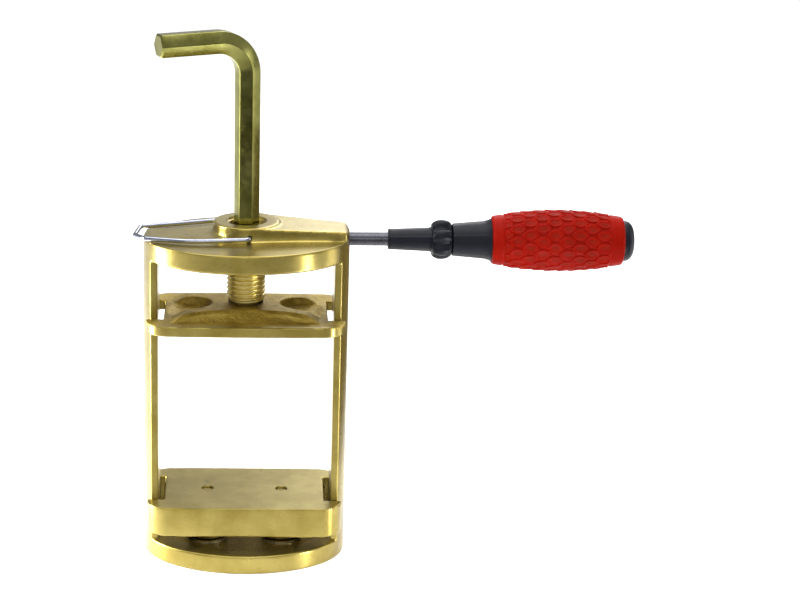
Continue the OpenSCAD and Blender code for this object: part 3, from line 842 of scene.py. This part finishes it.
# ---- CAD nodes that show as they are ----------------------------------------------------------
def dress_cad_nodes():
    """Materials for the small turned parts and the shank, which keep their CAD shapes."""
    looks = {"thrust_washer": WASHER_STEEL_PAINTED_SHADE, "retaining_washer": STEEL, "retaining_screw": STEEL,
             "guide_pin_left": PIN_STEEL, "guide_pin_right": PIN_STEEL, "spring_seat_left": STEEL,
             "spring_seat_right": STEEL, "disc_springs_left": DISC_STEEL, "disc_springs_right": DISC_STEEL,
             "retaining_clip_left": STEEL, "retaining_clip_right": STEEL, "handle_shank": DARK_STEEL}
    for name, material in looks.items():
        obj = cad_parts[name]
        if not obj.data.materials:
            obj.data.materials.append(None)
        for slot in obj.material_slots:
            slot.material = material


# ---- stage ----------------------------------------------------------------------------------
def build_stage():
    floor = bpy.data.meshes.new("floor")
    half = 3.0
    floor.from_pydata([(-half, -half, 0), (half, -half, 0), (half, half, 0), (-half, half, 0)], [],
                      [(0, 1, 2, 3)])
    ground = bpy.data.objects.new("floor", floor)
    bpy.context.scene.collection.objects.link(ground)
    material, _, shader = new_material("floor")
    shader.inputs["Base Color"].default_value = (0.93, 0.93, 0.93, 1)
    shader.inputs["Roughness"].default_value = 0.9
    shader.inputs["Emission Color"].default_value = (1, 1, 1, 1)
    shader.inputs["Emission Strength"].default_value = 0.45
    floor.materials.append(material)
    ground.visible_diffuse = False


def soft_light(name, place, aim, size, radiance):
    """A square soft box that lights the part and shows in its reflections, but not to the camera."""
    light = bpy.data.lights.new(name, "AREA")
    light.shape = "RECTANGLE"
    light.size, light.size_y = size
    light.energy = radiance * math.pi * size[0] * size[1]
    obj = bpy.data.objects.new(name, light)
    obj.location = place
    direction = np.array(aim, float) - np.array(place, float)
    pitch = math.atan2(math.hypot(direction[0], direction[1]), -direction[2])
    obj.rotation_euler = (pitch, 0, math.atan2(direction[1], direction[0]) - math.pi / 2)
    obj.visible_camera = False
    bpy.context.scene.collection.objects.link(obj)


def dark_card(name, corners, colour):
    """A dark card that only the part's reflections see."""
    mesh = bpy.data.meshes.new(name)
    mesh.from_pydata(corners, [], [(0, 1, 2, 3)])
    card = bpy.data.objects.new(name, mesh)
    bpy.context.scene.collection.objects.link(card)
    material, _, shader = new_material(name)
    shader.inputs["Base Color"].default_value = colour
    shader.inputs["Roughness"].default_value = 1.0
    mesh.materials.append(material)
    card.visible_camera = False
    card.visible_shadow = False


def build_lights():
    """A pale studio that is dimmer in front, on both sides and below, and soft boxes round the part."""
    world = bpy.data.worlds.new("studio")
    bpy.context.scene.world = world
    world.use_nodes = True
    tree = world.node_tree
    background = tree.nodes["Background"]
    where = tree.nodes.new("ShaderNodeTexCoord")
    split = tree.nodes.new("ShaderNodeSeparateXYZ")
    tree.links.new(where.outputs["Generated"], split.inputs["Vector"])
    front = remap(tree, split.outputs["Y"], -0.75, -0.10, 0.22, 1.0)
    upward = remap(tree, split.outputs["Z"], 0.55, 0.95, 0.0, 1.0)
    right = remap(tree, split.outputs["X"], 0.15, 0.55, 1.0, 0.5)
    left = remap(tree, split.outputs["X"], -0.5, 0.0, 0.55, 1.0)
    below = remap(tree, split.outputs["Z"], -0.25, 0.0, 0.12, 1.0)
    horizon = remap(tree, split.outputs["Z"], 0.0, 0.25, 0.22, 0.85)
    rear = remap(tree, split.outputs["Y"], 0.30, 0.80, 1.0, 0.6)
    strength = combine_values(tree, "MAXIMUM", front, horizon)
    strength = combine_values(tree, "MULTIPLY", strength, rear)
    strength = combine_values(tree, "MULTIPLY", strength, left)
    strength = combine_values(tree, "MAXIMUM", combine_values(tree, "MULTIPLY", strength, right), upward)
    strength = combine_values(tree, "MULTIPLY", strength, below)
    tree.links.new(strength, background.inputs["Strength"])
    background.inputs["Color"].default_value = (1, 1, 1, 1)
    soft_light("left_panel", (-0.45, 0.0, 0.22), (0, 0, 0.12), (0.17, 0.46), 18)
    soft_light("left_low", (-0.22, 0.0, 0.055), (0, 0, 0.01), (0.07, 0.10), 30)
    soft_light("right_panel", (0.45, 0.0, 0.2), (0, 0, 0.15), (0.13, 0.4), 2.2)
    soft_light("right_low", (0.21, -0.14, 0.055), (0.03, 0, 0.01), (0.022, 0.10), 60)
    soft_light("rear_panel", (0.27, 0.85, 0.76), (0.02, 0, 0.18), (0.5, 0.7), 3.2)
    soft_light("top_panel", (0, 0.0, 0.95), (0, 0, 0.18), (0.8, 0.8), 2.8)
    soft_light("front_panel", (-0.15, -1.25, 0.62), (0.03, 0, 0.15), (0.9, 0.5), 1.6)


def build_camera():
    """A long lens a little over a metre away, as a product table is photographed."""
    camera = bpy.data.cameras.new("camera")
    camera.sensor_width = 36
    camera.lens = 100.1
    camera.shift_x = 0.1925
    camera.clip_end = 20
    obj = bpy.data.objects.new("camera", camera)
    obj.location = (0, -1.161, 0.506)
    pitch, roll = math.radians(90 - 17.27), math.radians(0.46)
    turn = Euler((pitch, 0, 0)).to_matrix() @ Euler((0, 0, roll)).to_matrix()
    obj.rotation_euler = turn.to_euler()
    bpy.context.scene.collection.objects.link(obj)
    bpy.context.scene.camera = obj


build_camera()
build_lights()
build_stage()
dark_card("near_card", [(-0.6, -0.66, 0.002), (0.6, -0.66, 0.002), (0.6, -0.08, 0.002), (-0.6, -0.08, 0.002)],
          (0.55, 0.55, 0.55, 1))
dark_card("far_card", [(-0.6, -1.9, 0.002), (0.6, -1.9, 0.002), (0.6, -0.66, 0.002), (-0.6, -0.66, 0.002)],
          (0.03, 0.03, 0.03, 1))
dark_card("side_card", [(0.17, 0.03, 0.0), (0.17, 0.60, 0.0), (0.17, 0.60, 0.2), (0.17, 0.03, 0.2)],
          (0.16, 0.12, 0.04, 1))
bpy.context.scene.view_settings.view_transform = "Standard"
build_frame()
build_upper_plate()
build_lower_plate()
build_screw()
build_key()
build_bail()
build_core()
build_grip()
build_cap()
dress_cad_nodes()
